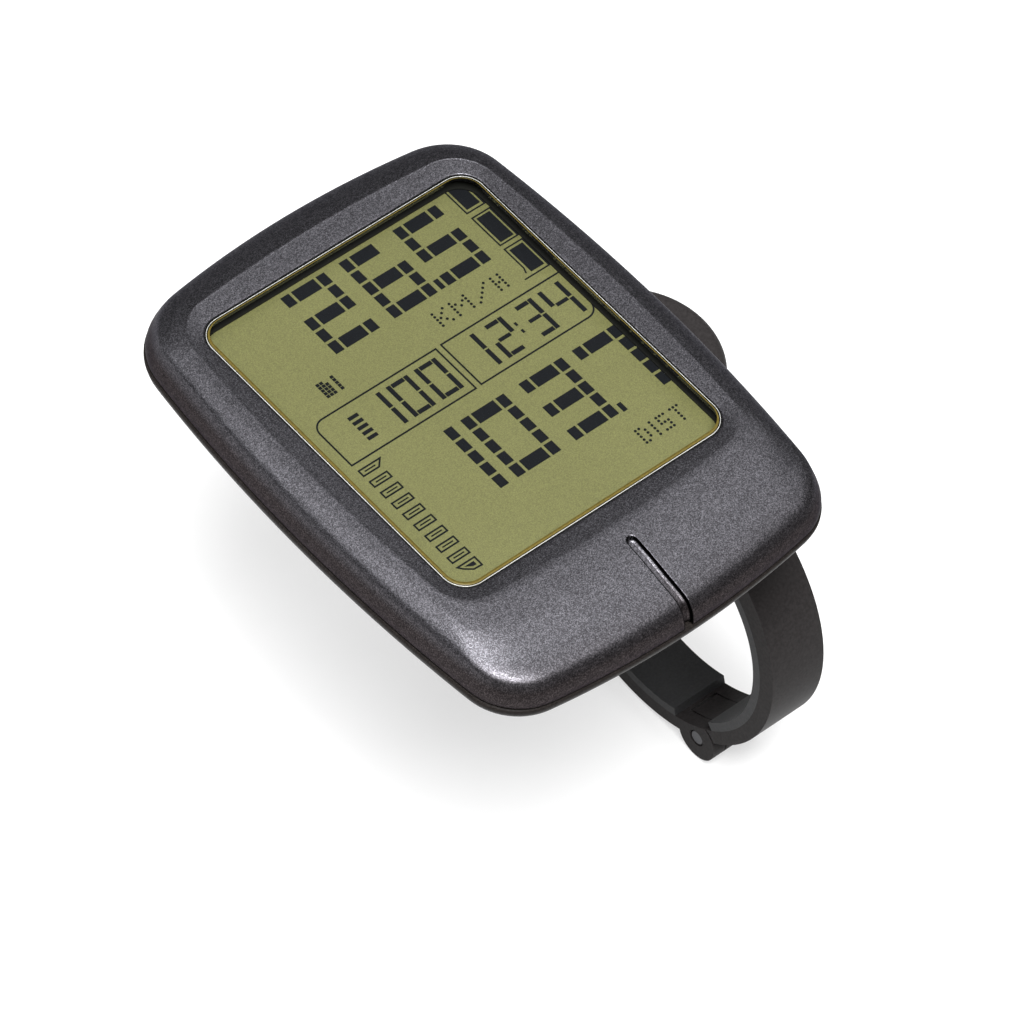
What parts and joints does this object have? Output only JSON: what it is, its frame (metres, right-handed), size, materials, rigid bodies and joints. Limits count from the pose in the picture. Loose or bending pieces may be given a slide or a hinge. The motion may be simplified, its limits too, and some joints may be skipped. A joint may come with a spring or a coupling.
{
  "type": "cycling computer",
  "caption": "Handlebar cycling computer: rounded case with a large LCD and a rocking key cover, on a twist-lock bracket with an offset arm and a hinged bar clamp.",
  "frame": {"origin": "centre of the handlebar clamp, on the handlebar's axis, half way along the clamp's band", "axes": "+X along the handlebar to the rider's right, +Y forward away from the rider and towards the display's top edge, +Z the normal of the display, out of the lens"},
  "size_m": [0.0605, 0.067, 0.0597],
  "materials": {
    "cover_plastic": "satin, fine metallic speckle",
    "case_plastic": "satin",
    "lens_clear": "polished",
    "adhesive": "matt",
    "seal_rubber": "matt",
    "pin_steel": "polished",
    "solder_mask": "satin",
    "screw_steel": "zinc plated",
    "spring_steel": "rolled",
    "chip_resin": "matt",
    "shield_can": "tin plated",
    "ceramic": "fired",
    "frame_black": "satin",
    "lcd_film": "satin film",
    "lcd_cell": "polished",
    "silver_film": "brushed film",
    "acrylic": "polished",
    "led_resin": "gloss",
    "zebra_rubber": "matt",
    "cell_steel": "nickel plated",
    "cap_plastic": "satin",
    "bracket_plastic": "satin",
    "liner_rubber": "matt",
    "bolt_steel": "machined"
  },
  "bodies": {
    "mount": {"bracket": "bracket_plastic", "dock_ring": "bracket_plastic", "dock_screws": "screw_steel", "detent_leaf": "spring_steel", "upper_liner": "liner_rubber", "jaw_pin": "pin_steel", "clamp_washer": "bolt_steel"},
    "head": {"back_shell": "case_plastic", "seam_gasket": "seal_rubber", "pivot_pins": "pin_steel", "circuit_board": "solder_mask", "board_screws": "screw_steel", "snap_domes": "spring_steel", "controller_chip": "chip_resin", "radio_module": "shield_can", "clock_crystal": "shield_can", "antenna": "ceramic", "capacitors": "ceramic", "buzzer": "chip_resin", "lcd_frame": "frame_black", "lcd_polariser": "lcd_film", "lcd_glass": "lcd_cell", "reflector": "silver_film", "light_guide": "acrylic", "backlight_leds": "led_resin", "zebra_strips": "zebra_rubber", "coin_cell": "cell_steel", "negative_contact": "spring_steel", "positive_contact": "spring_steel"},
    "cover": {"front_shell": "cover_plastic", "lens": "lens_clear", "lens_gasket": "adhesive"},
    "battery_cap": {"battery_cap": "cap_plastic", "cap_seal": "seal_rubber"},
    "jaw": {"lower_jaw": "bracket_plastic", "lower_liner": "liner_rubber", "clamp_nut": "bolt_steel"},
    "bolt": {"clamp_bolt": "bolt_steel"}
  },
  "joints": [
    {"name": "head_twist", "type": "hinge", "parent": "mount", "child": "head", "pos_m": [-0.02225, 0.0115, 0.027], "axis": [0, 0, 1], "range_deg": [0, 90], "deforming": ["detent_leaf"]},
    {"name": "key_rock", "type": "hinge", "parent": "head", "child": "cover", "pos_m": [-0.02375, 0.0115, 0.034], "axis": [0, 1, 0], "range_deg": [-0.5, 0.5], "stiffness_Nm_per_rad": 2, "deforming": ["snap_domes"]},
    {"name": "battery_cap_twist", "type": "hinge", "parent": "head", "child": "battery_cap", "pos_m": [-0.02225, 0.0115, 0.025], "axis": [0, 0, -1], "range_deg": [0, 60]},
    {"name": "clamp_bolt_turn", "type": "hinge", "parent": "mount", "child": "bolt", "pos_m": [0, 0.0212, 0.017], "axis": [0, 0, 1], "range_deg": [0, 360]},
    {"name": "jaw_swing", "type": "hinge", "parent": "mount", "child": "jaw", "pos_m": [0, -0.0094, -0.01628], "axis": [-1, 0, 0], "range_deg": [0, 1.4]}
  ],
  "couplings": [
    {"joint": "jaw_swing", "follows": "clamp_bolt_turn", "ratio": 0.0036408}
  ]
}
